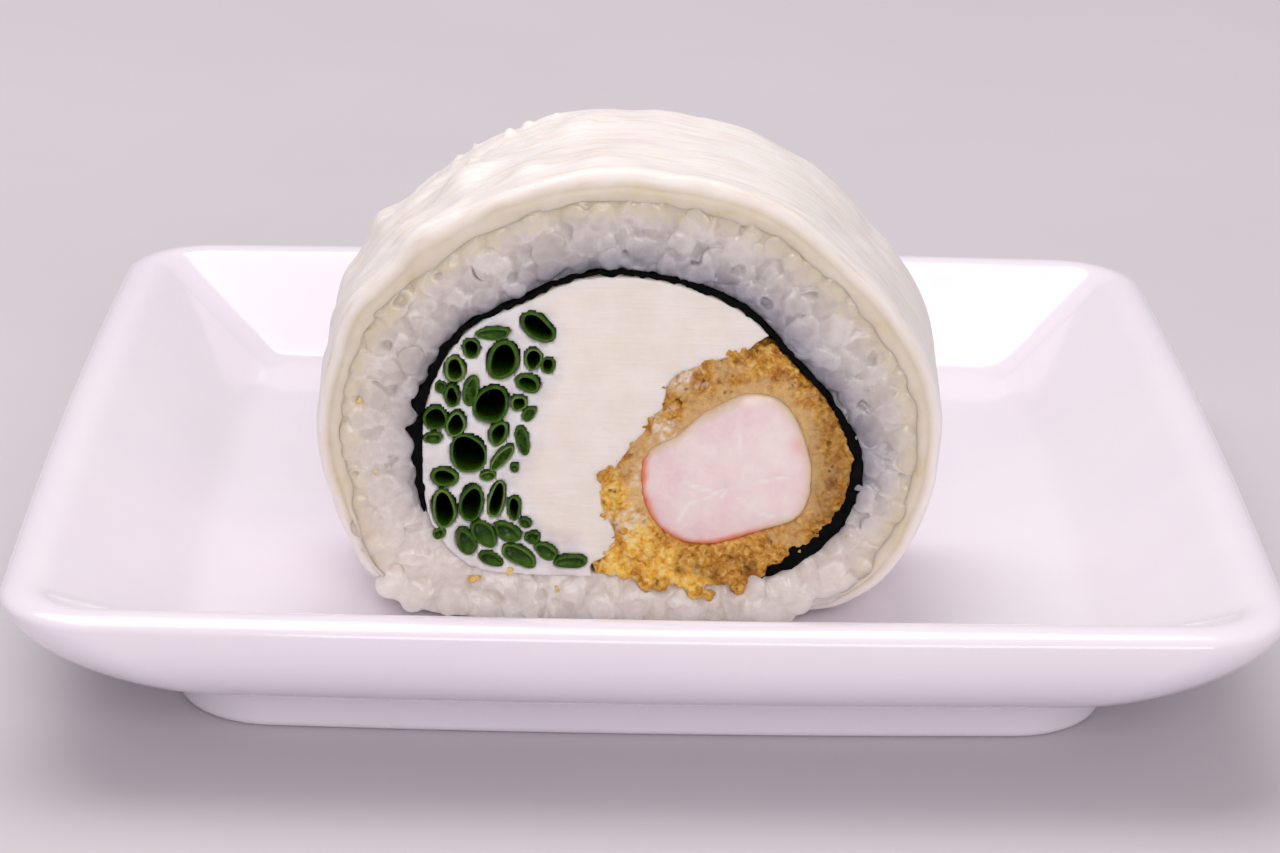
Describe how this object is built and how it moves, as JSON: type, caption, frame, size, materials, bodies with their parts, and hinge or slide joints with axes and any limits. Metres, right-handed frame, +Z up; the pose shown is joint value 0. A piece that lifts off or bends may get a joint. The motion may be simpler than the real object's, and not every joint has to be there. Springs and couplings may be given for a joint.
{
  "type": "uramaki roll on a square dish",
  "caption": "Cut uramaki roll with a cream wrap, rice, nori, chives, cream cheese and crumbed prawn, on a small rounded-square porcelain dish.",
  "frame": {"origin": "centre of the bounding box at its base, under the middle of the dish's foot", "axes": "+Z up; +X along the dish's front edge to the viewer's right; +Y away from the viewer, along the roll"},
  "size_m": [0.101, 0.098, 0.0449],
  "materials": {
    "porcelain": "gloss",
    "rice": "moist, part see-through grains",
    "wrap": "smooth creamy skin",
    "nori": "dark moist sheet",
    "cream_cheese": "matte, with faint knife lines",
    "chives": "fresh, dark green, hollow",
    "crust": "porous fried crumb",
    "prawn": "moist pale pink flesh"
  },
  "bodies": {
    "root": {"plate": "porcelain", "rice": "rice", "wrap": "wrap", "nori": "nori", "cream_cheese": "cream_cheese", "chives": "chives", "crust": "crust", "prawn": "prawn"}
  },
  "joints": []
}
